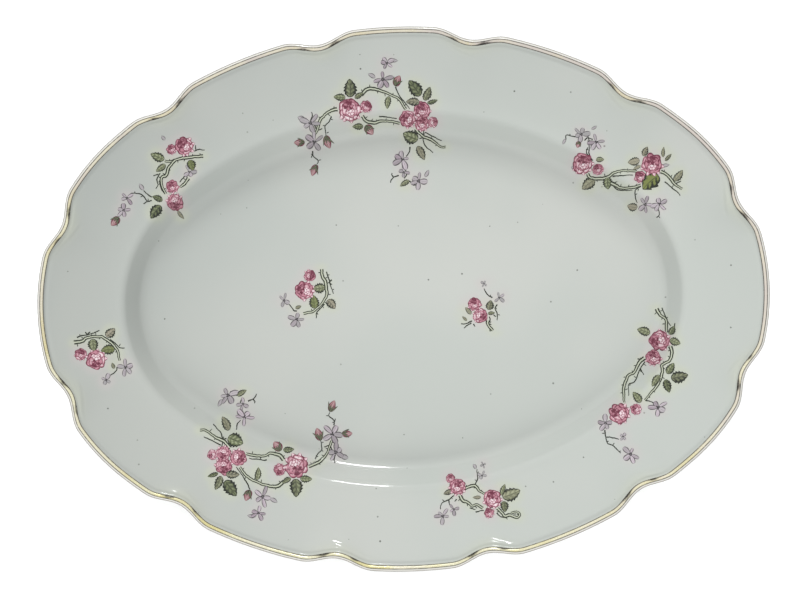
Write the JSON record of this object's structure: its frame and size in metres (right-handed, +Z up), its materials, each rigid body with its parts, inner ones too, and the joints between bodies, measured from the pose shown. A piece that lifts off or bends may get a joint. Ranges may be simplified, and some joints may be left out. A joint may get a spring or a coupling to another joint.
{
  "type": "oval serving platter",
  "caption": "Oval china serving platter with a scalloped gilt-edged rim, a deep well, a foot ring and enamelled sprays of roses and violets.",
  "frame": {"origin": "on the table under the middle of the dish, in the plane of the foot ring's land", "axes": "+X along the length of the dish, +Y across its width, +Z up"},
  "size_m": [0.3938, 0.2928, 0.0381],
  "materials": {
    "china": "clear glossy glaze over pale grey-white china",
    "biscuit": "foot ring, glazed on its sides with a bare ground land",
    "gilding": "burnished gilding, rubbed thin",
    "stem_enamel": "fired enamel",
    "leaf_enamel": "fired enamel",
    "rose_enamel": "fired enamel",
    "violet_enamel": "fired enamel"
  },
  "bodies": {
    "root": {"china_body": "china", "foot_ring": "biscuit", "gilt_rim_line": "gilding", "top_stems": "stem_enamel", "top_leaves": "leaf_enamel", "top_roses": "rose_enamel", "top_violets": "violet_enamel", "top_right_stems": "stem_enamel", "top_right_leaves": "leaf_enamel", "top_right_roses": "rose_enamel", "top_right_violets": "violet_enamel", "right_stems": "stem_enamel", "right_leaves": "leaf_enamel", "right_roses": "rose_enamel", "right_violets": "violet_enamel", "bottom_stems": "stem_enamel", "bottom_leaves": "leaf_enamel", "bottom_roses": "rose_enamel", "bottom_violets": "violet_enamel", "bottom_left_stems": "stem_enamel", "bottom_left_leaves": "leaf_enamel", "bottom_left_roses": "rose_enamel", "bottom_left_violets": "violet_enamel", "left_stems": "stem_enamel", "left_leaves": "leaf_enamel", "left_roses": "rose_enamel", "left_violets": "violet_enamel", "top_left_stems": "stem_enamel", "top_left_leaves": "leaf_enamel", "top_left_roses": "rose_enamel", "top_left_violets": "violet_enamel", "well_left_stems": "stem_enamel", "well_left_leaves": "leaf_enamel", "well_left_roses": "rose_enamel", "well_left_violets": "violet_enamel", "well_right_stems": "stem_enamel", "well_right_leaves": "leaf_enamel", "well_right_roses": "rose_enamel", "well_right_violets": "violet_enamel"}
  },
  "joints": []
}
